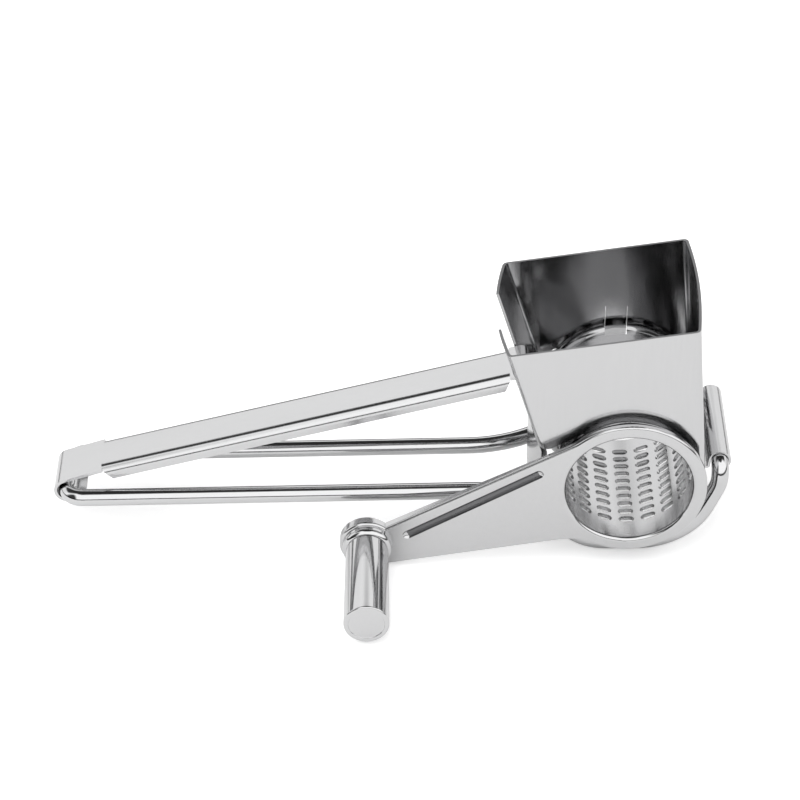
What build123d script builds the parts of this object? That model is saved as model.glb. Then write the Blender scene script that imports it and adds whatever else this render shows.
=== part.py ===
from build123d import *
import math
import os

# Hand-cranked drum shredder, all stainless steel, in millimetres.
# Every piece is drawn about the drum's axis: X to the right along the handle, Y away from
# the crank side, Z up. place() then sets the whole tool over the middle of its own base.

# Sheet and wire
HOPPER_SHEET = 0.8
HANDLE_SHEET = 1.0
DRUM_SHEET = 0.5
CLIP_SHEET = 0.7
WIRE_R = 2.75

# Hopper walls: distance from the drum's axis, and lean as run per rise
HOPPER_HALF_DEPTH = 25.6
LEFT_FOOT_X = -24.25
LEFT_LEAN = 0.3058
RIGHT_FOOT_X = 24.43
RIGHT_LEAN = 0.0872
RIM_LEFT_X = -38.9
RIM_LEFT_Z = 48.0
RIM_TILT = 9.0
LEFT_BULGE = 3.2
RIGHT_BULGE = 1.4
FOLD_R = 1.8
RIGHT_WALL_END = 3.0
CLIP_TAB_END = -1.8
FACE_CORNER_X = -27.5
FACE_CORNER_Z = 10.7
FACE_CORNER_R = 3.5
FACE_EDGE_ANGLE = 121.2
SLOT_WIDTH = 19.1
SLOT_SHIFT = -0.9
SLOT_FLOOR_Z = 24.5

# Round openings that carry the drum
BORE_R = 21.9
FRONT_FACE_R = 23.4
REAR_FACE_R = 25.6
FRONT_BEND_R = 1.2
REAR_BEND_R = 3.6
FRONT_COLLAR_END = 21.0
REAR_COLLAR_END = 18.4
CATCH_LEFT = -5.6
CATCH_RIGHT = 1.5
CATCH_TOP = 31.5
CATCH_FOOT = 18.6
CATCH_SLIT = 0.08

# Drum
DRUM_R = 20.9
RUNNER_R = 21.6
DRUM_FRONT_Y = -28.1
DRUM_BACK_Y = 21.2
FRONT_RUNNER_LENGTH = 5.9
REAR_RUNNER_LENGTH = 3.6
SLOT_COLUMNS = 18
SLOT_ROWS = 10
SLOT_LENGTH = 4.9
SLOT_HEIGHT = 2.6
FIRST_ROW_Y = -20.0
ROW_PITCH = 3.86
COLUMN_PHASE = -1.7

# Crank
CRANK_FACE_Y = -30.5
CRANK_SHEET = 1.0
ARM_SKIRT = 3.3
RING_SKIRT = 1.9
CRANK_EDGE_R = 0.9
RING_HOLE_R = 20.0
RING_R = 24.5
RING_LIP = 1.3
RING_LIP_R = 1.2
KNOB_X = -82.4
KNOB_Z = -22.4
ARM_END_R = 8.8
ARM_TOP_ANGLE = 29.2
ARM_TOP_REACH = 23.7
ARM_FOOT_X = -12.5
ARM_FOOT_Z = -19.0
ARM_BLEND_R = 18.0
GROOVE_R = 1.9
GROOVE_DEPTH = 0.8
GROOVE_OUTER = (-69.6, -18.1)
GROOVE_INNER = (-28.6, 6.1)

# Knob
AXLE_R = 2.0
AXLE_FIT = 0.08
AXLE_HEAD_R = 3.5
AXLE_HEAD_THICK = 1.7
AXLE_PEEN_THICK = 1.3
AXLE_PLAY = 0.3
BOSS_R = 7.9
BOSS_HEIGHT = 3.1
BOSS_EDGE_R = 1.6
KNOB_GAP = 0.3
KNOB_BASE_R = 6.8
KNOB_END_R = 7.15
KNOB_SHEET = 0.6
KNOB_END_Y = -68.7
WASHER_THICK = 0.8
WASHER_FIT = 0.02
WASHER_DEPTH = 1.4
GUIDE_DEPTH = 6.5
CAP_THICK = 0.8
CAP_EDGE_R = 0.5
CAP_DISH_R = 5.7
CAP_DISH_DEPTH = 0.25
SPIGOT_FIT = 0.15
SPIGOT_HEIGHT = 2.0

# Wire frame: the grip's crosspiece, the legs, the cradle and the toe under the clip
GRIP_X = -179.4
GRIP_Z = -17.95
LEG_Y = 11.8
FLARE_X = -38.5
FLARE_Z = -14.85
CRADLE_Y = 20.8
DIP_X = -23.5
CRADLE_Z = -28.35
CRADLE_LEFT = -15.5
CRADLE_RIGHT = 12.5
RISE = (23.5, -19.5)
TOE_X = 29.45
TOE_FOOT_Z = -4.9
TOE_Z = 1.6
WIRE_BENDS = [5.0, 40.0, 8.0, 16.0, 24.0, 22.0, 12.0, 4.0]

# Clip on the toe
CLIP_HALF_WIDTH = 17.8
CLIP_INNER_R = 2.85
CLIP_LIP_ANGLE = -30
CLIP_TAIL_TOP = 1.4
CLIP_FOLD_Z = -6.4
CLIP_FOLD_R = 0.6

# Presser: handle strip and the curved plate over the drum
STRIP_HALF_WIDTH = 8.2
CURL_R = 3.9
LIP_END_X = -174.0
KNEE = (-160.0, -7.24)
KNEE_R = 60.0
STRIP_SLOPE = 15.42
STEM_BEND_X = -31.9
STEM_LEAN = 0.3054
STEM_FOOT_Z = 13.0
STEM_BEND_R = 2.0
FLANGE_START_X = -168.0
FLANGE_END_X = -37.2
FLANGE_HEIGHT = 4.7
FLANGE_CHAMFER = 3.4
FLANGE_FOLD_R = 2.8
PLATE_SHEET = 0.8
PLATE_R = 23.8
PLATE_HALF_WIDTH = 19.6
PLATE_RIGHT_ANGLE = 30
PLATE_LEFT_ANGLE = 125
PLATE_HEEL_X = -25.7
TAB_TOP_Z = 22.5
TAB_BEND_R = 1.2


def polar(radius, degrees):
    """Point (x, z) on a circle about the drum's axis."""
    turn = math.radians(degrees)
    return (radius * math.cos(turn), radius * math.sin(turn))


def side_plate(outline, front_y, thickness):
    """Flat sketch seen from the crank side, made solid from front_y backwards."""
    return extrude(Plane.XZ.offset(-front_y - thickness) * outline, amount=thickness)


def tube(outer_r, inner_r, front_y, back_y):
    """Ring of metal round the drum's axis."""
    return side_plate(Circle(outer_r) - Circle(inner_r), front_y, back_y - front_y)


def knob_disc(radius, front_y, back_y, hole_r=0.0):
    """Disc on the knob's axis, with a hole where one is given."""
    disc = Circle(radius)
    if hole_r:
        disc -= Circle(hole_r)
    return side_plate(Pos(KNOB_X, KNOB_Z) * disc, front_y, back_y - front_y)


def bent_strip(lines, half_width, thickness):
    """Folded sheet strip: its middle line, seen from the crank side, with a thickness."""
    middle = Wire([edge for line in lines for edge in line.edges()])
    return side_plate(trace(middle, thickness), -half_width, 2 * half_width)


def left_wall_x(z):
    return LEFT_FOOT_X - LEFT_LEAN * z


def right_wall_x(z):
    return RIGHT_FOOT_X - RIGHT_LEAN * z


def strip_z(x):
    """Middle of the handle strip's sheet along its long straight run."""
    return KNEE[1] + math.tan(math.radians(STRIP_SLOPE)) * (x - KNEE[0])


def wire_frame():
    """One closed loop of round wire: grip, two legs, cradle under the drum and toe."""
    corners = [
        (GRIP_X, -LEG_Y, GRIP_Z),
        (FLARE_X, -LEG_Y, FLARE_Z),
        (DIP_X, -CRADLE_Y, FLARE_Z),
        (CRADLE_LEFT, -CRADLE_Y, CRADLE_Z),
        (CRADLE_RIGHT, -CRADLE_Y, CRADLE_Z),
        (RISE[0], -CRADLE_Y, RISE[1]),
        (TOE_X, -CRADLE_Y, TOE_FOOT_Z),
        (TOE_X, -CRADLE_Y, TOE_Z),
    ]
    start = (GRIP_X, 0, GRIP_Z)
    end = (TOE_X, 0, TOE_Z)
    path = FilletPolyline(start, *corners, end, radius=WIRE_BENDS)
    half = sweep(Plane(origin=start, z_dir=(0, -1, 0)) * Circle(WIRE_R), path=path)
    return half + mirror(half, about=Plane.XZ)


def hopper_section(z, inset):
    """Plan of the hopper at one height: straight front and back, bulged sides."""
    left = left_wall_x(z) + inset * math.hypot(1, LEFT_LEAN)
    right = right_wall_x(z) - inset
    depth = HOPPER_HALF_DEPTH - inset
    right_bulge = RIGHT_BULGE * z / RIM_LEFT_Z
    front = Line((left, -depth), (right, -depth))
    back = Line((right, depth), (left, depth))
    left_side = ThreePointArc((left, depth), (left - LEFT_BULGE, 0), (left, -depth))
    right_side = ThreePointArc((right, -depth), (right + right_bulge, 0), (right, depth))
    face = make_face(Curve() + [front, right_side, back, left_side])
    face = fillet(face.vertices(), FOLD_R - inset)
    return Pos(0, 0, z) * face


def hopper_walls():
    """The four folded walls as one tall tapering tube, before its edges are cut."""
    low = -30.0
    high = 70.0
    outer = loft([hopper_section(low, 0), hopper_section(high, 0)], ruled=True)
    inner = loft(
        [hopper_section(low, HOPPER_SHEET), hopper_section(high, HOPPER_SHEET)], ruled=True
    )
    return outer - inner


def collar(face_r, bend_r, length_end):
    """Round collar drawn inwards from a wall at +Y, with its flat face ring."""
    wall = HOPPER_HALF_DEPTH
    outline = FilletPolyline(
        (face_r, wall, 0),
        (BORE_R, wall, 0),
        (BORE_R, length_end, 0),
        (BORE_R + HOPPER_SHEET, length_end, 0),
        (BORE_R + HOPPER_SHEET, wall - HOPPER_SHEET, 0),
        (face_r, wall - HOPPER_SHEET, 0),
        radius=[0, bend_r, 0, 0, bend_r - HOPPER_SHEET, 0],
        close=True,
    )
    return revolve(make_face(outline), axis=Axis.Y)


def left_apron():
    """Lower end of the left wall: upright, down to the two wires that it is welded to."""
    foot_z = FLARE_Z + WIRE_R
    height = FACE_CORNER_Z - foot_z
    ring = hopper_section(FACE_CORNER_Z, 0) - hopper_section(FACE_CORNER_Z, HOPPER_SHEET)
    ring = extrude(ring, amount=-height)
    depth = 2 * (HOPPER_HALF_DEPTH - HOPPER_SHEET)
    reach = FACE_CORNER_R
    keep = Pos(FACE_CORNER_X, 0, FACE_CORNER_Z - height / 2) * Box(3 * reach, depth, height)
    return ring & keep


def face_outline():
    """Front and back walls: straight lower left edge that meets the round opening."""
    touch = polar(FRONT_FACE_R, FACE_EDGE_ANGLE)
    far = 80.0
    left_edge_x = left_wall_x(far) - 1
    corner = (left_wall_x(FACE_CORNER_Z) - 0.6, FACE_CORNER_Z)
    outline = FilletPolyline(
        (left_edge_x, far),
        corner,
        touch,
        (0, RIGHT_WALL_END),
        (far, RIGHT_WALL_END),
        (far, far),
        radius=[0, FACE_CORNER_R, 0, 0, 0, 0],
        close=True,
    )
    return make_face(outline)


def hopper_shell():
    """Folded sheet hopper with a slot for the handle and a collar in each face."""
    shell = hopper_walls()
    far = 200.0
    rim = Plane(origin=(RIM_LEFT_X, 0, RIM_LEFT_Z)) * Rot(0, -RIM_TILT, 0)
    shell -= rim * Pos(0, 0, far / 2) * Box(far, far, far)
    inner_depth = HOPPER_HALF_DEPTH - HOPPER_SHEET
    side_depth = 2 * inner_depth
    beside_tab = inner_depth - CLIP_HALF_WIDTH
    shell -= Pos(-far / 2, 0, FACE_CORNER_Z - far / 2) * Box(far, side_depth, far)
    shell += left_apron()
    shell -= Pos(far / 2, 0, CLIP_TAB_END - far / 2) * Box(far, side_depth, far)
    for side in (-1, 1):
        notch = Box(far, beside_tab, far)
        notch_y = side * (inner_depth - beside_tab / 2)
        shell -= Pos(far / 2, notch_y, RIGHT_WALL_END - far / 2) * notch
    waste = side_plate(Rectangle(far, far) - face_outline(), -HOPPER_HALF_DEPTH - 1, HOPPER_SHEET + 1)
    shell -= waste + mirror(waste, about=Plane.XZ)
    slot_y = SLOT_SHIFT
    slot = Pos(-far / 2, slot_y, SLOT_FLOOR_Z + far / 2) * Box(far, SLOT_WIDTH, far)
    shell -= slot
    front = mirror(collar(FRONT_FACE_R, FRONT_BEND_R, FRONT_COLLAR_END), about=Plane.XZ)
    rear = collar(REAR_FACE_R, REAR_BEND_R, REAR_COLLAR_END)
    shell -= tube(FRONT_FACE_R - 0.01, 1, -HOPPER_HALF_DEPTH - 1, 0)
    shell -= tube(REAR_FACE_R - 0.01, 1, 0, HOPPER_HALF_DEPTH + 1)
    shell = shell + front + rear
    return catch_tongue(shell, inner_depth)


def catch_tongue(shell, inner_depth):
    """Springy tongue between two slits in the back wall, over the drum's rear runner."""
    width = CATCH_RIGHT - CATCH_LEFT
    middle = (CATCH_LEFT + CATCH_RIGHT) / 2
    low = BORE_R - 2
    window = Box(width, 12, CATCH_TOP - low)
    shell -= Pos(middle, HOPPER_HALF_DEPTH - 2, (CATCH_TOP + low) / 2) * window
    tongue = Box(width - 2 * CATCH_SLIT, HOPPER_SHEET, CATCH_TOP + 0.5 - CATCH_FOOT)
    tongue_y = inner_depth + HOPPER_SHEET / 2
    return shell + Pos(middle, tongue_y, (CATCH_TOP + 0.5 + CATCH_FOOT) / 2) * tongue


def frame_clip():
    """Sheet clip: flat tail on the right wall, folded up and curled over the toe."""
    curl_r = CLIP_INNER_R + CLIP_SHEET / 2
    skin = CLIP_SHEET / 2
    fold = (right_wall_x(CLIP_FOLD_Z) + skin, CLIP_FOLD_Z)
    tail = (right_wall_x(CLIP_TAIL_TOP) + skin, CLIP_TAIL_TOP)
    reach = math.hypot(TOE_X - fold[0], TOE_Z - fold[1])
    aim = math.atan2(TOE_Z - fold[1], TOE_X - fold[0]) + math.asin(curl_r / reach)
    run = math.sqrt(reach**2 - curl_r**2)
    touch = (fold[0] + run * math.cos(aim), fold[1] + run * math.sin(aim))
    lip = math.radians(CLIP_LIP_ANGLE)
    end = (TOE_X + curl_r * math.cos(lip), TOE_Z + curl_r * math.sin(lip))
    legs = FilletPolyline(tail, fold, touch, radius=CLIP_FOLD_R)
    curl = ThreePointArc(touch, (TOE_X, TOE_Z + curl_r), end)
    return bent_strip([legs, curl], CLIP_HALF_WIDTH, CLIP_SHEET)


def presser_strip_path():
    """Handle strip from its lip under the grip wire, round the curl and up to the stem."""
    reach = math.hypot(GRIP_X - KNEE[0], GRIP_Z - KNEE[1])
    aim = math.atan2(GRIP_Z - KNEE[1], GRIP_X - KNEE[0]) - math.asin(CURL_R / reach)
    run = math.sqrt(reach**2 - CURL_R**2)
    touch = (KNEE[0] + run * math.cos(aim), KNEE[1] + run * math.sin(aim))
    lip_z = GRIP_Z - CURL_R
    lip = Line((LIP_END_X, lip_z), (GRIP_X, lip_z))
    curl = ThreePointArc((GRIP_X, lip_z), (GRIP_X - CURL_R, GRIP_Z), touch)
    bend_z = strip_z(STEM_BEND_X)
    foot_x = STEM_BEND_X + STEM_LEAN * (bend_z - STEM_FOOT_Z)
    web = FilletPolyline(
        touch, KNEE, (STEM_BEND_X, bend_z), (foot_x, STEM_FOOT_Z), radius=[KNEE_R, STEM_BEND_R]
    )
    return [lip, curl, web]


def presser_handle():
    """Handle strip with two folded flanges along the grip."""
    strip = bent_strip(presser_strip_path(), STRIP_HALF_WIDTH, HANDLE_SHEET)
    slope = math.radians(STRIP_SLOPE)
    run = (FLANGE_END_X - FLANGE_START_X) / math.cos(slope)
    half = HANDLE_SHEET / 2
    depth = FLANGE_HEIGHT
    top_middle = (Align.CENTER, Align.MAX)
    square = Rectangle(2 * STRIP_HALF_WIDTH, depth, align=top_middle)
    outline = fillet(square.vertices().sort_by(Axis.Y)[-2:], FLANGE_FOLD_R)
    bore_width = 2 * (STRIP_HALF_WIDTH - HANDLE_SHEET)
    bore = Pos(0, -HANDLE_SHEET) * Rectangle(bore_width, depth, align=top_middle)
    bore = fillet(bore.vertices().sort_by(Axis.Y)[-2:], FLANGE_FOLD_R - HANDLE_SHEET)
    start = Plane(
        origin=(FLANGE_START_X, 0, strip_z(FLANGE_START_X)),
        x_dir=(0, 1, 0),
        z_dir=(math.cos(slope), 0, math.sin(slope)),
    )
    channel = extrude(start * (Pos(0, half) * (outline - bore)), amount=run)
    strip -= extrude(start * (Pos(0, half) * (square - outline)), amount=run)
    for end, side in ((0, 1), (run, -1)):
        wedge = Polyline((0, 0), (side * FLANGE_CHAMFER, -depth), (0, -depth), close=True)
        cut = extrude(make_face(wedge), amount=STRIP_HALF_WIDTH * 2, both=True)
        frame = Plane(origin=start.from_local_coords((0, 0, end)), x_dir=start.z_dir, z_dir=(0, -1, 0))
        channel -= frame * Pos(0, -half) * cut
    return strip + channel


def presser_plate():
    """Curved plate over the drum, with a ramp to the left and a tab up to the stem."""
    start = polar(PLATE_R, PLATE_LEFT_ANGLE)
    middle = polar(PLATE_R, (PLATE_RIGHT_ANGLE + PLATE_LEFT_ANGLE) / 2)
    arc = ThreePointArc(polar(PLATE_R, PLATE_RIGHT_ANGLE), middle, start)
    ramp = -1 / math.tan(math.radians(PLATE_LEFT_ANGLE))
    heel_z = start[1] + ramp * (PLATE_HEEL_X - start[0])
    tab_x = PLATE_HEEL_X - STEM_LEAN * (TAB_TOP_Z - heel_z)
    heel = (PLATE_HEEL_X, heel_z)
    plate = bent_strip([arc, Line(start, heel)], PLATE_HALF_WIDTH, PLATE_SHEET)
    tab = FilletPolyline(start, heel, (tab_x, TAB_TOP_Z), radius=TAB_BEND_R)
    return plate + bent_strip([tab], STRIP_HALF_WIDTH, PLATE_SHEET)


def crank_outline():
    """Ring, tapering arm and rounded end, seen from the crank side."""
    knob = (KNOB_X, KNOB_Z)
    reach = math.hypot(ARM_FOOT_X - knob[0], ARM_FOOT_Z - knob[1])
    aim = math.atan2(ARM_FOOT_Z - knob[1], ARM_FOOT_X - knob[0])
    down = aim - math.acos(ARM_END_R / reach)
    low = (knob[0] + ARM_END_R * math.cos(down), knob[1] + ARM_END_R * math.sin(down))
    slope = math.radians(ARM_TOP_ANGLE)
    normal = (-math.sin(slope), math.cos(slope))
    ring_point = (ARM_TOP_REACH * normal[0], ARM_TOP_REACH * normal[1])
    run = (knob[0] - ring_point[0]) / math.cos(slope) + 1
    end_point = (ring_point[0] + run * math.cos(slope), ring_point[1] + run * math.sin(slope))
    arm = make_face(
        Polyline((0, 0), ring_point, end_point, knob, low, (ARM_FOOT_X, ARM_FOOT_Z), close=True)
    )
    outline = Circle(RING_R) + arm + Pos(*knob) * Circle(ARM_END_R)
    corners = outline.vertices().filter_by(lambda v: abs(math.hypot(v.X, v.Y) - RING_R) < 0.01)
    return fillet(corners.sort_by(Axis.X)[:2], ARM_BLEND_R)


def capsule(radius):
    """Round-ended bar along the groove, sunk into the arm's face."""
    axis_y = CRANK_FACE_Y + GROOVE_DEPTH - GROOVE_R
    outer = Vector(GROOVE_OUTER[0], axis_y, GROOVE_OUTER[1])
    inner = Vector(GROOVE_INNER[0], axis_y, GROOVE_INNER[1])
    bar = extrude(Plane(origin=outer, z_dir=inner - outer) * Circle(radius), (inner - outer).length)
    for end in (outer, inner):
        bar += Pos(*end) * Sphere(radius)
    return bar


def crank_skirt_limit():
    """Space that the sheet may fill: its skirt gets lower from the knob towards the ring."""
    front = CRANK_FACE_Y
    outline = Polyline(
        (KNOB_X - 2 * ARM_END_R, front),
        (KNOB_X - 2 * ARM_END_R, front + ARM_SKIRT),
        (KNOB_X, front + ARM_SKIRT),
        (-RING_R, front + RING_SKIRT),
        (2 * RING_R, front + RING_SKIRT),
        (2 * RING_R, front),
        close=True,
    )
    return extrude(make_face(outline), amount=60, both=True)


def crank_arm():
    """Pressed sheet arm: rolled skirt, ring with the drum's mouth and a stiffening groove."""
    far = 100.0
    outline = crank_outline()
    blank = side_plate(outline, CRANK_FACE_Y, ARM_SKIRT)
    front_edges = blank.faces().sort_by(Axis.Y)[0].edges()
    blank = fillet(front_edges, CRANK_EDGE_R) & crank_skirt_limit()
    inside = offset(outline, amount=-CRANK_SHEET, kind=Kind.ARC)
    blank -= side_plate(inside, CRANK_FACE_Y + CRANK_SHEET, ARM_SKIRT)
    blank -= side_plate(Circle(RING_HOLE_R), CRANK_FACE_Y - 1, ARM_SKIRT + 1)
    blank -= knob_disc(AXLE_R, CRANK_FACE_Y - 1, CRANK_FACE_Y + ARM_SKIRT)
    lip = tube(RING_HOLE_R + RING_LIP, RING_HOLE_R, CRANK_FACE_Y, DRUM_FRONT_Y)
    lip = fillet(lip.faces().sort_by(Axis.Y)[0].edges().sort_by(SortBy.RADIUS)[0], RING_LIP_R)
    blank = blank - side_plate(Circle(RING_HOLE_R + RING_LIP), CRANK_FACE_Y - 1, 2) + lip
    rib = capsule(GROOVE_R + CRANK_SHEET)
    rib &= Pos(0, CRANK_FACE_Y + CRANK_SHEET + far / 2) * Box(2 * far, far, 2 * far)
    return blank + rib - capsule(GROOVE_R)


def drum_shell():
    """Rolled perforated drum; its slots run round the circumference in rows."""
    shell = tube(DRUM_R, DRUM_R - DRUM_SHEET, DRUM_FRONT_Y, DRUM_BACK_Y)
    cutter = extrude(Plane.XY * SlotOverall(SLOT_LENGTH, SLOT_HEIGHT), amount=4, both=True)
    cutters = []
    for column in range(SLOT_COLUMNS):
        angle = COLUMN_PHASE + 360 / SLOT_COLUMNS * column
        for row in range(SLOT_ROWS):
            y = FIRST_ROW_Y + ROW_PITCH * row
            cutters.append(Rot(0, angle, 0) * Pos(0, y, -DRUM_R) * cutter)
    return shell - cutters


def knob_boss():
    """Dished seat on the arm's face under the knob."""
    boss = knob_disc(BOSS_R, CRANK_FACE_Y - BOSS_HEIGHT, CRANK_FACE_Y, AXLE_R)
    rim = boss.faces().sort_by(Axis.Y)[0].outer_wire().edges()
    return fillet(rim, BOSS_EDGE_R)


def knob_axle(guide_y):
    """Rivet through the arm: peened behind the arm, headed inside the sleeve."""
    back_face = CRANK_FACE_Y + CRANK_SHEET
    seat_y = guide_y - AXLE_PLAY
    shank = knob_disc(AXLE_R, seat_y, back_face)
    peened = knob_disc(AXLE_HEAD_R, back_face, back_face + AXLE_PEEN_THICK)
    head = knob_disc(AXLE_HEAD_R, seat_y - AXLE_HEAD_THICK, seat_y)
    peened = fillet(peened.faces().sort_by(Axis.Y)[-1].edges(), CRANK_EDGE_R)
    return shank + peened + head


def knob_radius(y):
    """Outside radius of the sleeve, which widens towards its outer end."""
    base_y = CRANK_FACE_Y - BOSS_HEIGHT - KNOB_GAP
    share = (y - base_y) / (KNOB_END_Y + CAP_THICK - base_y)
    return KNOB_BASE_R + (KNOB_END_R - KNOB_BASE_R) * share


def knob_sleeve(base_y, end_y):
    """Thin tapered tube that turns on the axle."""
    height = base_y - end_y
    outer = Cone(KNOB_END_R, KNOB_BASE_R, height)
    inner = Cone(KNOB_END_R - KNOB_SHEET, KNOB_BASE_R - KNOB_SHEET, height)
    return Pos(KNOB_X, (base_y + end_y) / 2, KNOB_Z) * Rot(-90, 0, 0) * (outer - inner)


def knob_washer(front_y):
    """Washer pressed into the sleeve, which lets the sleeve turn on the axle."""
    back_y = front_y + WASHER_THICK
    return knob_disc(knob_radius(back_y) - KNOB_SHEET - WASHER_FIT, front_y, back_y, AXLE_R + AXLE_FIT)


def knob_end_cap(end_y):
    """Shallow dished cap over the sleeve's outer end, with a spigot inside it."""
    cap = knob_disc(KNOB_END_R, KNOB_END_Y, end_y)
    cap = fillet(cap.faces().sort_by(Axis.Y)[0].edges(), CAP_EDGE_R)
    dish = knob_disc(CAP_DISH_R, KNOB_END_Y - CAP_DISH_DEPTH, KNOB_END_Y + CAP_DISH_DEPTH)
    cap -= fillet(dish.faces().sort_by(Axis.Y)[-1].edges(), CAP_DISH_DEPTH * 0.9)
    spigot_r = KNOB_END_R - KNOB_SHEET - SPIGOT_FIT
    return cap + knob_disc(spigot_r, end_y, end_y + SPIGOT_HEIGHT, spigot_r - KNOB_SHEET)


def place(shape):
    """Move from the drum's axis to the middle of the tool's base."""
    left = GRIP_X - CURL_R - HANDLE_SHEET / 2
    right = TOE_X + CLIP_INNER_R + CLIP_SHEET
    middle_x = (left + right) / 2
    middle_y = (KNOB_END_Y + HOPPER_HALF_DEPTH) / 2
    base_z = KNOB_Z - ARM_END_R
    return Pos(-middle_x, -middle_y, -base_z) * shape


def build():
    base_y = CRANK_FACE_Y - BOSS_HEIGHT - KNOB_GAP
    end_y = KNOB_END_Y + CAP_THICK
    guide_y = end_y + GUIDE_DEPTH
    return {
        "wire_frame": wire_frame(),
        "hopper_shell": hopper_shell(),
        "frame_clip": frame_clip(),
        "presser_handle": presser_handle(),
        "presser_plate": presser_plate(),
        "crank_arm": crank_arm(),
        "drum_front_ring": tube(RUNNER_R, DRUM_R, DRUM_FRONT_Y, DRUM_FRONT_Y + FRONT_RUNNER_LENGTH),
        "drum_shell": drum_shell(),
        "drum_rear_ring": tube(RUNNER_R, DRUM_R, DRUM_BACK_Y - REAR_RUNNER_LENGTH, DRUM_BACK_Y),
        "knob_boss": knob_boss(),
        "knob_axle": knob_axle(guide_y),
        "knob_sleeve": knob_sleeve(base_y, end_y),
        "knob_base_washer": knob_washer(base_y - WASHER_DEPTH),
        "knob_guide_washer": knob_washer(guide_y),
        "knob_end_cap": knob_end_cap(end_y),
    }


os.makedirs("parts", exist_ok=True)
for name, shape in build().items():
    export_step(place(shape), f"parts/{name}.step")
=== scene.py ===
import math
import bmesh
import bpy
from mathutils import Matrix, Vector


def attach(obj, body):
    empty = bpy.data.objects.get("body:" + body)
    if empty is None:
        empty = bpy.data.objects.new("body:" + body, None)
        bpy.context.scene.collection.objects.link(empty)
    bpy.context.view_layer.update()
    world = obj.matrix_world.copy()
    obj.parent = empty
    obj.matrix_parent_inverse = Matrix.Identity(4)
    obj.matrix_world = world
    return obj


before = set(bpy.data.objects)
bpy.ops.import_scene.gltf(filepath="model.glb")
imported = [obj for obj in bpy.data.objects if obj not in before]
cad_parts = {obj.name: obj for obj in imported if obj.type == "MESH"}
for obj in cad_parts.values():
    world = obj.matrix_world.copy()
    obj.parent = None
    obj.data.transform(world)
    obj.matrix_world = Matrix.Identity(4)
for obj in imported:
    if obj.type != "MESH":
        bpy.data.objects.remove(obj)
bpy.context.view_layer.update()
scene = bpy.context.scene
collection = scene.collection

drumAxis = Vector((0.0754, 0.02155, 0.0312))  # in metres
white = (1.0, 1.0, 1.0, 1.0)
nodeSpacing = 220


def feed(tree, node, values):  # links a socket, and sets anything else as the input's value
    for name, value in values.items():
        if isinstance(value, bpy.types.NodeSocket):
            tree.links.new(value, node.inputs[name])
        else:
            node.inputs[name].default_value = value


def addNode(tree, kind, values=None, **settings):
    node = tree.nodes.new(kind)
    node.location.x = nodeSpacing * len(tree.nodes)  # side by side in the editor
    for name, value in settings.items():
        setattr(node, name, value)
    feed(tree, node, values or {})
    return node


def remap(tree, value, start, end, low=0.0, high=1.0):
    node = addNode(tree, "ShaderNodeMapRange", {
        "Value": value,
        "From Min": start,
        "From Max": end,
        "To Min": low,
        "To Max": high,
    })
    return node.outputs["Result"]


def compute(tree, operation, *values):
    node = addNode(tree, "ShaderNodeMath", dict(enumerate(values)), operation=operation)
    return node.outputs[0]


brushLook = dict(
    lineDetail=3.0,
    lineRoughness=0.6,
    smudgeScale=55.0,
    smudgeDetail=4.0,
    noiseMiddle=0.5,  # the lines swing as far above zero as below it
)


def makeBrushGroup():  # fine lines one way, as a brush or a rolling mill leaves them
    tree = bpy.data.node_groups.new("brushedLines", "ShaderNodeTree")
    tree.interface.new_socket("Vector", in_out="INPUT", socket_type="NodeSocketVector")
    tree.interface.new_socket("Line scale", in_out="INPUT", socket_type="NodeSocketFloat")
    tree.interface.new_socket("Lines", in_out="OUTPUT", socket_type="NodeSocketFloat")
    tree.interface.new_socket("Smudge", in_out="OUTPUT", socket_type="NodeSocketFloat")
    given = addNode(tree, "NodeGroupInput")
    lines = addNode(tree, "ShaderNodeTexNoise", {
        "Vector": given.outputs["Vector"],
        "Scale": given.outputs["Line scale"],
        "Detail": brushLook["lineDetail"],
        "Roughness": brushLook["lineRoughness"],
    })
    smudge = addNode(tree, "ShaderNodeTexNoise", {
        "Vector": given.outputs["Vector"],
        "Scale": brushLook["smudgeScale"],
        "Detail": brushLook["smudgeDetail"],
    })
    addNode(tree, "NodeGroupOutput", {
        "Lines": compute(tree, "SUBTRACT", lines.outputs["Fac"], brushLook["noiseMiddle"]),
        "Smudge": smudge.outputs["Fac"],
    })
    return tree


brushGroup = makeBrushGroup()

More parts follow.
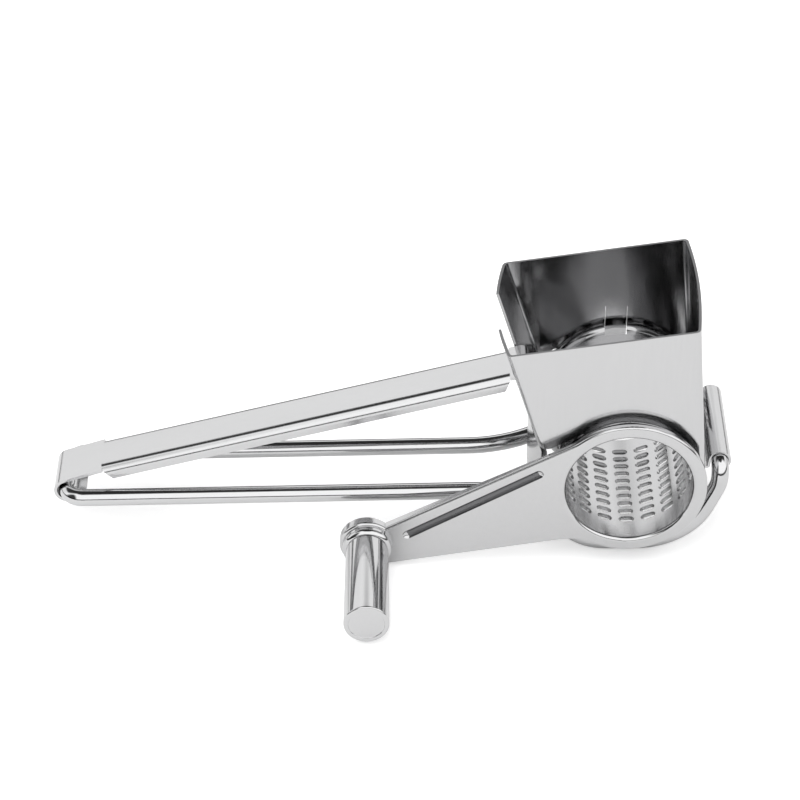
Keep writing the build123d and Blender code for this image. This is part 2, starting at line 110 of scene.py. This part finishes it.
steelLooks = {  # grain: how fast the lines change along X, Y and Z, so they run along the small one
    "sheetSteel": dict(colour=(0.60, 0.60, 0.605), rough=0.16, roughSpread=0.03,
                       grain=(1.0, 1.0, 0.06), lineScale=1400.0, bump=0.12),
    "stripSteel": dict(colour=(0.62, 0.62, 0.625), rough=0.17, roughSpread=0.03,
                       grain=(0.05, 1.0, 1.0), lineScale=1400.0, bump=0.10),
    "wireSteel": dict(colour=(0.62, 0.62, 0.625), rough=0.10, roughSpread=0.02,
                      grain=(0.04, 1.0, 1.0), lineScale=1800.0, bump=0.08),
    "armSteel": dict(colour=(0.61, 0.61, 0.615), rough=0.15, roughSpread=0.03,
                     grain=(1.0, 1.0, 1.0), lineScale=700.0, bump=0.06),
    "drumSteel": dict(colour=(0.58, 0.58, 0.585), rough=0.17, roughSpread=0.04,
                      grain=(1.0, 0.06, 1.0), lineScale=1200.0, bump=0.12),
    # painted shade: the inside of the hopper walls, darker to stand in for the dark they mirror
    "innerShadeSteel": dict(colour=(0.46, 0.46, 0.465), rough=0.13, roughSpread=0.04,
                       grain=(1.0, 1.0, 0.04), lineScale=900.0, bump=0.25),
    # painted shade: the pressed groove, darker to stand in for the dark it mirrors
    "grooveShadeSteel": dict(colour=(0.17, 0.17, 0.175), rough=0.3, roughSpread=0.06,
                        grain=(1.0, 1.0, 1.0), lineScale=1500.0, bump=0.3),
    "cutSteel": dict(colour=(0.30, 0.30, 0.305), rough=0.38, roughSpread=0.05,
                     grain=(1.0, 1.0, 1.0), lineScale=2500.0, bump=0.3),
    "burrSteel": dict(colour=(0.62, 0.62, 0.625), rough=0.28, roughSpread=0.05,
                      grain=(1.0, 1.0, 1.0), lineScale=2500.0, bump=0.3),
    "knobSteel": dict(colour=(0.62, 0.62, 0.625), rough=0.09, roughSpread=0.02,
                      grain=(1.0, 0.05, 1.0), lineScale=1500.0, bump=0.05),
}
steelShared = dict(
    smudgeFrom=0.3,
    smudgeTo=0.7,
    lineSwing=0.5,
    lineShade=0.94,  # the darkest line's colour as a share of the steel's
    bumpDepth=0.00005,
)


def makeSteel(name, look):
    material = bpy.data.materials.new(name)
    material.use_nodes = True
    tree = material.node_tree
    coords = addNode(tree, "ShaderNodeTexCoord")
    stretched = addNode(tree, "ShaderNodeMapping", {
        "Vector": coords.outputs["Object"],
        "Scale": look["grain"],
    })
    brush = addNode(tree, "ShaderNodeGroup", node_tree=brushGroup)
    feed(tree, brush, {"Vector": stretched.outputs["Vector"], "Line scale": look["lineScale"]})
    rough = remap(
        tree, brush.outputs["Smudge"], steelShared["smudgeFrom"], steelShared["smudgeTo"],
        look["rough"] - look["roughSpread"], look["rough"] + look["roughSpread"],
    )
    tint = addNode(tree, "ShaderNodeMapRange", data_type="FLOAT_VECTOR")
    feed(tree, tint, {
        "Vector": brush.outputs["Lines"],
        "From Min": (-steelShared["lineSwing"],) * 3,
        "From Max": (steelShared["lineSwing"],) * 3,
        "To Min": tuple(part * steelShared["lineShade"] for part in look["colour"]),
        "To Max": look["colour"],
    })
    bump = addNode(tree, "ShaderNodeBump", {
        "Strength": look["bump"],
        "Distance": steelShared["bumpDepth"],
        "Height": brush.outputs["Lines"],
    })
    shader = tree.nodes["Principled BSDF"]
    shader.inputs["Base Color"].default_value = (*look["colour"], 1.0)  # the tint below takes its place
    feed(tree, shader, {
        "Base Color": tint.outputs["Vector"],
        "Metallic": 1.0,
        "Roughness": rough,
        "Normal": bump.outputs["Normal"],
    })
    return material


steels = {name: makeSteel(name, look) for name, look in steelLooks.items()}

nodeFinish = {
    "wire_frame": "wireSteel",
    "hopper_shell": "sheetSteel",
    "frame_clip": "sheetSteel",
    "presser_handle": "stripSteel",
    "presser_plate": "stripSteel",
    "crank_arm": "armSteel",
    "drum_front_ring": "drumSteel",
    "drum_shell": "drumSteel",
    "drum_rear_ring": "drumSteel",
    "knob_boss": "knobSteel",
    "knob_axle": "knobSteel",
    "knob_base_washer": "knobSteel",
    "knob_guide_washer": "knobSteel",
    "knob_sleeve": "knobSteel",
    "knob_end_cap": "knobSteel",
}
for nodeName, finish in nodeFinish.items():
    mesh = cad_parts[nodeName].data
    mesh.materials.clear()
    mesh.materials.append(steels[finish])

hopperPaint = dict(
    rimTilt=9.0,  # degrees that the sheared rim falls towards the grip
    rimFromDrum=(-0.0389, 0.0, 0.048),
    rimReach=0.0002,
    rimAlike=0.98,
    # where the painted shade inside the walls reaches
    middleFromDrum=(-0.006, 0.0, 0.0),
    facesMiddle=0.1,
    lowestFromDrum=-0.012,
)


def paintHopper():  # painted shade: a darker steel inside the walls, standing in for the dark they mirror, and a duller one on the sheared rim
    look = hopperPaint
    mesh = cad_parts["hopper_shell"].data
    mesh.materials.append(steels["innerShadeSteel"])
    mesh.materials.append(steels["cutSteel"])
    innerShadePlace = 1  # the node's own steel is at 0
    cutPlace = 2
    tilt = math.radians(look["rimTilt"])
    rimNormal = Vector((-math.sin(tilt), 0.0, math.cos(tilt)))
    rimPoint = drumAxis + Vector(look["rimFromDrum"])
    middle = drumAxis + Vector(look["middleFromDrum"])
    lowest = drumAxis.z + look["lowestFromDrum"]
    for face in mesh.polygons:
        offRim = abs((face.center - rimPoint).dot(rimNormal))
        if face.normal.dot(rimNormal) > look["rimAlike"] and offRim < look["rimReach"]:
            face.material_index = cutPlace
            continue
        inwards = middle - face.center
        inwards.z = 0.0
        # faces turned into the hopper get the painted shade
        if face.normal.dot(inwards.normalized()) > look["facesMiddle"] and face.center.z > lowest:
            face.material_index = innerShadePlace


paintHopper()

groovePaint = dict(
    outerFromDrum=(-0.0696, 0.0, -0.0181),
    innerFromDrum=(-0.0286, 0.0, 0.0061),
    armFaceFromDrum=-0.0305,
    halfWidth=0.0019,
    shallowest=0.00003,
    deepest=0.00082,
)


def paintGroove():  # painted shade: darker steel along the pressed groove, standing in for the dark it mirrors, but not at its two ends
    look = groovePaint
    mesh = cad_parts["crank_arm"].data
    mesh.materials.append(steels["grooveShadeSteel"])
    grooveShadePlace = 1
    outer = drumAxis + Vector(look["outerFromDrum"])
    run = Vector(look["innerFromDrum"]) - Vector(look["outerFromDrum"])
    along = run.normalized()
    armFace = drumAxis.y + look["armFaceFromDrum"]
    for face in mesh.polygons:
        reach = face.center - outer
        share = reach.dot(along)
        aside = reach - along * share
        aside.y = 0.0
        sunk = face.center.y - armFace
        inside = 0.0 < share < run.length and aside.length < look["halfWidth"]
        # the groove's sunk faces get the painted shade
        if inside and look["shallowest"] < sunk < look["deepest"]:
            face.material_index = grooveShadePlace


paintGroove()
print("materials done")

drumTeeth = dict(
    columns=18,
    rows=10,
    phase=-1.7,  # degrees from straight down to the first column
    firstRow=-0.020,
    rowPitch=0.00386,
    drumRadius=0.0209,
    slotLength=0.0049,
    slotHeight=0.0026,
    corners=22,
    rings=[  # height over the drum's outside, distance inside the slot's edge
        (-0.00052, -0.00002),
        (0.0, 0.00005),
        (0.00030, 0.00018),
        (0.00058, 0.00036),
        (0.00064, 0.00026),
        (0.00040, 0.00000),
        (0.00010, -0.00030),
        (-0.00002, -0.00055),
    ],
)


def makeFlatTooth(bm, look):  # the burr round one slot: X along the slot, Y across it, Z off the drum
    straight = (look["slotLength"] - look["slotHeight"]) / 2
    height, inset = look["rings"][0]
    endRadius = look["slotHeight"] / 2 - inset
    verts = []
    for step in range(look["corners"]):
        turn = 2 * math.pi * (step + 0.5) / look["corners"]
        end = math.copysign(straight, math.cos(turn))
        verts.append(bm.verts.new((end + endRadius * math.cos(turn), endRadius * math.sin(turn), height)))
    edges = [bm.edges.new(pair) for pair in zip(verts, verts[1:] + verts[:1])]
    for height, inset in look["rings"][1:]:
        made = bmesh.ops.extrude_edge_only(bm, edges=edges)["geom"]
        newRadius = look["slotHeight"] / 2 - inset
        for vert in [part for part in made if isinstance(part, bmesh.types.BMVert)]:
            end = math.copysign(straight, vert.co.x)
            vert.co.x = end + (vert.co.x - end) * newRadius / endRadius
            vert.co.y *= newRadius / endRadius
            vert.co.z = height
        edges = [part for part in made if isinstance(part, bmesh.types.BMEdge)]
        endRadius = newRadius


def makeDrumTeeth():  # each slot is punched outwards and leaves a burr that cuts
    look = drumTeeth
    bm = bmesh.new()
    makeFlatTooth(bm, look)
    for vert in bm.verts:  # bent on to the drum, under its axis
        bend = vert.co.x / look["drumRadius"]
        radius = look["drumRadius"] + vert.co.z
        rise = look["firstRow"] + vert.co.y
        vert.co = drumAxis + Vector((radius * math.sin(bend), rise, -radius * math.cos(bend)))
    phaseTurn = Matrix.Rotation(math.radians(look["phase"]), 3, "Y")
    bmesh.ops.rotate(bm, verts=bm.verts[:], cent=drumAxis, matrix=phaseTurn)
    firstTooth = bm.verts[:] + bm.edges[:] + bm.faces[:]
    for row in range(1, look["rows"]):
        copied = bmesh.ops.duplicate(bm, geom=firstTooth)["geom"]
        copiedVerts = [part for part in copied if isinstance(part, bmesh.types.BMVert)]
        bmesh.ops.translate(bm, verts=copiedVerts, vec=(0.0, look["rowPitch"] * row, 0.0))
    moreColumns = look["columns"] - 1
    bmesh.ops.spin(
        bm, geom=bm.verts[:] + bm.edges[:] + bm.faces[:], cent=drumAxis, axis=(0.0, 1.0, 0.0),
        angle=2 * math.pi * moreColumns / look["columns"], steps=moreColumns, use_duplicate=True,
    )
    bmesh.ops.recalc_face_normals(bm, faces=bm.faces)
    for face in bm.faces:
        face.smooth = True
    mesh = bpy.data.meshes.new("drumTeeth")
    bm.to_mesh(mesh)
    bm.free()
    mesh.materials.append(steels["burrSteel"])
    teeth = bpy.data.objects.new("drumTeeth", mesh)
    collection.objects.link(teeth)
    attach(teeth, "crank")


makeDrumTeeth()
print("drum teeth done")

room = dict(
    strongest=1.5,  # the brightest strength in the table below
    bands=[  # degrees over the horizon, strength in front, at the back, at both sides of the back
        (-90.0, 1.0, 0.9, 0.9),
        (-5.0, 1.0, 0.2, 0.8),
        (-1.0, 0.05, 0.05, 0.1),
        (3.0, 0.05, 0.05, 0.1),
        (8.0, 0.05, 0.05, 1.1),
        (13.0, 1.4, 0.1, 1.15),
        (20.0, 1.5, 0.9, 1.15),
        (24.0, 1.5, 1.2, 1.15),
        (38.0, 1.5, 1.2, 1.15),
        (43.0, 1.5, 0.05, 0.06),
        (70.0, 1.5, 0.03, 0.03),
        (75.0, 0.06, 0.03, 0.03),
        (90.0, 0.03, 0.03, 0.03),
    ],
    frontToBack=(-0.12, 0.12),  # each pair: where a blend starts and ends, in the ray's direction
    backToSides=(0.28, 0.42),
    darkLeft=(-0.42, -0.55),
    darkAhead=(-0.1, -0.3),
    darkStrength=0.06,
)


def makeBands(tree, height, column):
    ramp = addNode(tree, "ShaderNodeValToRGB", {"Fac": height})
    stops = ramp.color_ramp.elements
    stops.remove(stops[1])  # a new ramp has two, and only the first is kept
    for row in room["bands"]:
        place = (row[0] + 90.0) / 180.0
        stop = stops[0] if place == 0.0 else stops.new(place)
        stop.color = (*[row[column] / room["strongest"]] * 3, 1.0)
    return ramp.outputs["Color"]


def blend(tree, share, low, high):
    node = addNode(tree, "ShaderNodeMix", data_type="RGBA")
    feed(tree, node, {"Factor": share, "A": low, "B": high})
    return node.outputs["Result"]


def makeWorld():  # white for the camera and as light, with a room of bands for glossy rays
    world = bpy.data.worlds.new("studio")
    world.use_nodes = True
    tree = world.node_tree
    tree.nodes.clear()
    coords = addNode(tree, "ShaderNodeTexCoord")
    split = addNode(tree, "ShaderNodeSeparateXYZ", {0: coords.outputs["Generated"]})
    rise = compute(tree, "ARCSINE", split.outputs["Z"])
    height = remap(tree, rise, -math.pi / 2, math.pi / 2)
    front, back, backSides = [makeBands(tree, height, column) for column in (1, 2, 3)]
    across = compute(tree, "ABSOLUTE", split.outputs["X"])
    behind = blend(tree, remap(tree, across, *room["backToSides"]), back, backSides)
    around = blend(tree, remap(tree, split.outputs["Y"], *room["frontToBack"]), front, behind)
    left = remap(tree, split.outputs["X"], *room["darkLeft"])
    ahead = remap(tree, split.outputs["Y"], *room["darkAhead"])
    frontLeft = compute(tree, "MULTIPLY", left, ahead)
    strength = remap(tree, frontLeft, 0.0, 1.0, room["strongest"], room["darkStrength"])
    mirrored = addNode(tree, "ShaderNodeBackground", {"Color": around, "Strength": strength})
    plain = addNode(tree, "ShaderNodeBackground", {"Color": white, "Strength": 1.0})
    rays = addNode(tree, "ShaderNodeLightPath")
    pick = addNode(tree, "ShaderNodeMixShader", {
        "Fac": rays.outputs["Is Glossy Ray"],
        1: plain.outputs[0],
        2: mirrored.outputs[0],
    })
    addNode(tree, "ShaderNodeOutputWorld", {"Surface": pick.outputs[0]})
    scene.world = world


floorLook = dict(
    size=3.0,
    colour=0.88,
    rough=0.9,
    lift=0.4,  # emission that only camera rays see, so that the floor comes near white
)


def makeFloor():
    material = bpy.data.materials.new("paleFloor")
    material.use_nodes = True
    tree = material.node_tree
    rays = addNode(tree, "ShaderNodeLightPath")
    feed(tree, tree.nodes["Principled BSDF"], {
        "Base Color": (*[floorLook["colour"]] * 3, 1.0),
        "Roughness": floorLook["rough"],
        "Specular IOR Level": 0.0,
        "Emission Color": white,
        "Emission Strength": compute(tree, "MULTIPLY", rays.outputs["Is Camera Ray"], floorLook["lift"]),
    })
    bm = bmesh.new()
    bmesh.ops.create_grid(bm, x_segments=1, y_segments=1, size=floorLook["size"] / 2)
    mesh = bpy.data.meshes.new("floor")
    bm.to_mesh(mesh)
    bm.free()
    mesh.materials.append(material)
    floor = bpy.data.objects.new("floor", mesh)
    collection.objects.link(floor)


lampLook = dict(place=(-0.25, -0.35, 0.8), power=3.4, size=0.7)


def makeLamp():
    data = bpy.data.lights.new("softLamp", "AREA")
    data.energy = lampLook["power"]
    data.size = lampLook["size"]
    lamp = bpy.data.objects.new("softLamp", data)
    lamp.location = lampLook["place"]
    lamp.rotation_mode = "QUATERNION"
    lamp.rotation_quaternion = (-Vector(lampLook["place"])).to_track_quat("-Z", "Y")
    lamp.visible_glossy = False
    collection.objects.link(lamp)


photoView = dict(
    fromDrum=(-0.0736, -0.7521, 0.5794),
    looks=(0.0018, 0.7985, -0.6019),
    lens=132.7,
)


def makeCamera():
    data = bpy.data.cameras.new("photoCamera")
    data.lens = photoView["lens"]
    camera = bpy.data.objects.new("photoCamera", data)
    camera.location = drumAxis + Vector(photoView["fromDrum"])
    camera.rotation_mode = "QUATERNION"
    camera.rotation_quaternion = Vector(photoView["looks"]).to_track_quat("-Z", "Y")
    collection.objects.link(camera)
    scene.camera = camera


makeWorld()
makeFloor()
makeLamp()
makeCamera()
scene.view_settings.view_transform = "Standard"
print("studio done")
